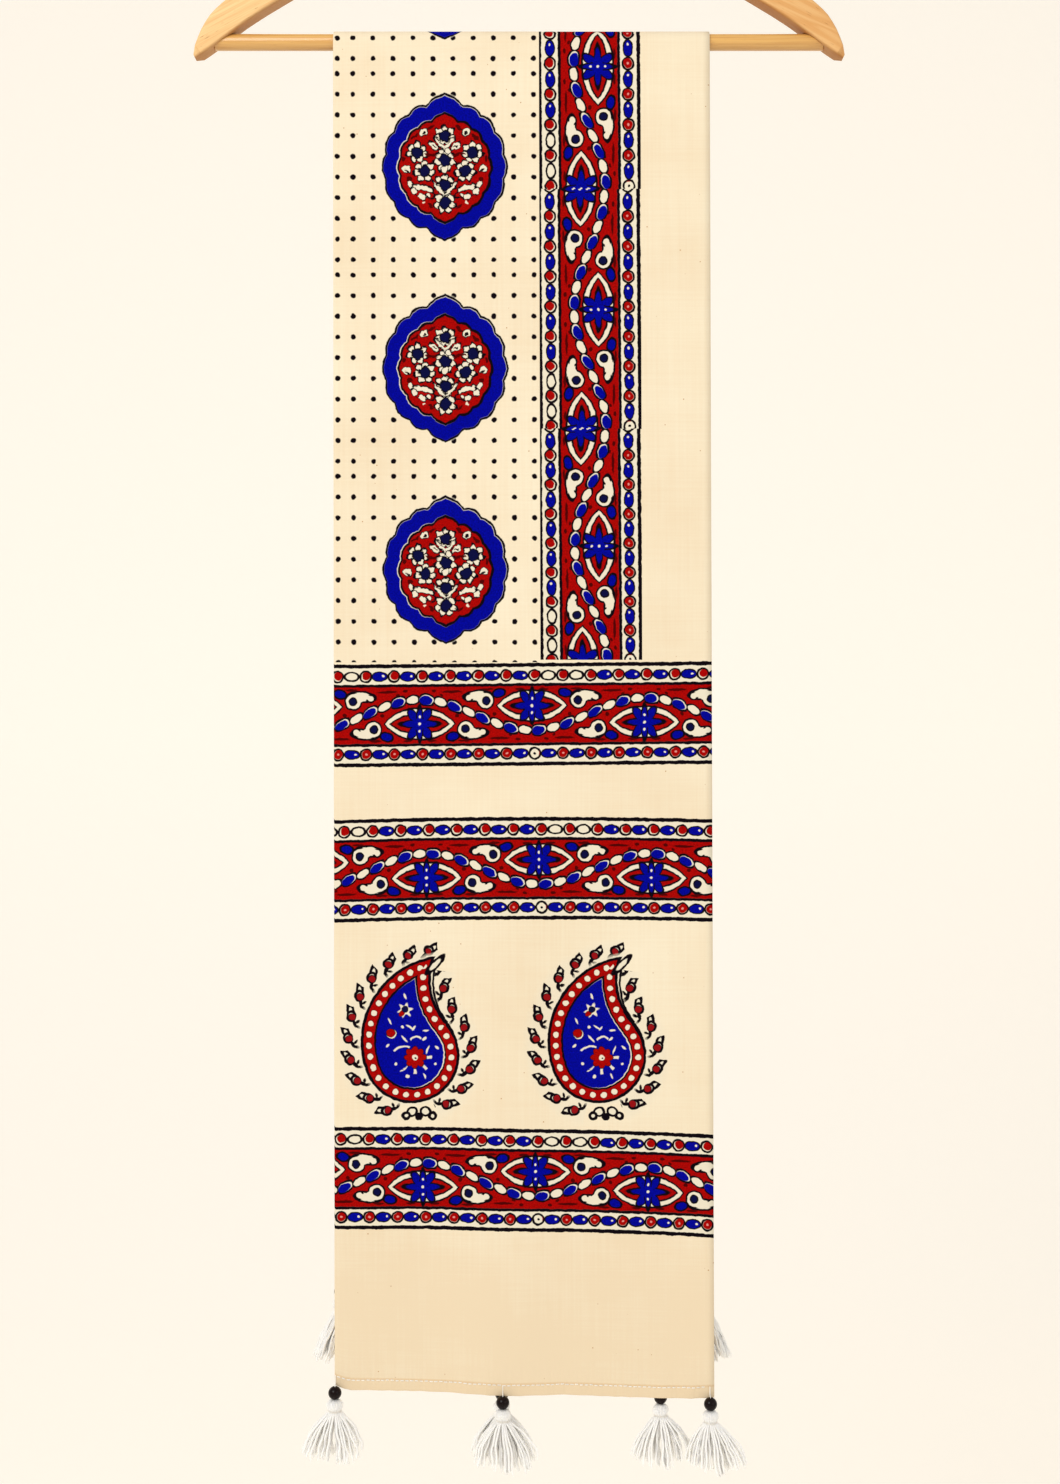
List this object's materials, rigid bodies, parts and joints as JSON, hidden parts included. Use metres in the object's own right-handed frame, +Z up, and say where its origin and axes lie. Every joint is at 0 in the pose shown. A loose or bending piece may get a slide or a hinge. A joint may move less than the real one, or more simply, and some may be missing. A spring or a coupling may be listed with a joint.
{
  "type": "block-printed ajrakh stole on a wooden coat hanger",
  "caption": "Cotton stole with a block-printed border, medallions and paisleys, tassels under beads, folded lengthwise and draped over a wooden coat hanger's bar.",
  "frame": {"origin": "the saddle of the hook, at the top of its inside, where a rail carries the hanger", "axes": "+Z up along the drop of the cloth, +X to the right along the hanger's bar, -Y out of the printed front"},
  "size_m": [0.444, 0.0413, 1.1721],
  "materials": {
    "printed_cotton": "plain-woven cream cotton, block-printed in indigo blue, madder red and black",
    "tassel_yarn": "white cotton yarn",
    "bead_wood": "turned, stained near-black and polished",
    "arm_wood": "sanded beech under a clear satin varnish",
    "bar_wood": "round stick under a honey varnish",
    "hook_steel": "bright plated wire"
  },
  "bodies": {
    "root": {"stole": "printed_cotton", "hanger_arms": "arm_wood", "hanger_bar": "bar_wood", "hanger_hook": "hook_steel", "bead_front_1": "bead_wood", "bead_front_2": "bead_wood", "bead_front_3": "bead_wood", "bead_front_4": "bead_wood", "bead_front_5": "bead_wood", "bead_back_1": "bead_wood", "bead_back_2": "bead_wood", "bead_back_3": "bead_wood", "bead_back_4": "bead_wood", "bead_back_5": "bead_wood", "tassel_front_1": "tassel_yarn", "tassel_front_2": "tassel_yarn", "tassel_front_3": "tassel_yarn", "tassel_front_4": "tassel_yarn", "tassel_front_5": "tassel_yarn", "tassel_back_1": "tassel_yarn", "tassel_back_2": "tassel_yarn", "tassel_back_3": "tassel_yarn", "tassel_back_4": "tassel_yarn", "tassel_back_5": "tassel_yarn"}
  },
  "joints": []
}
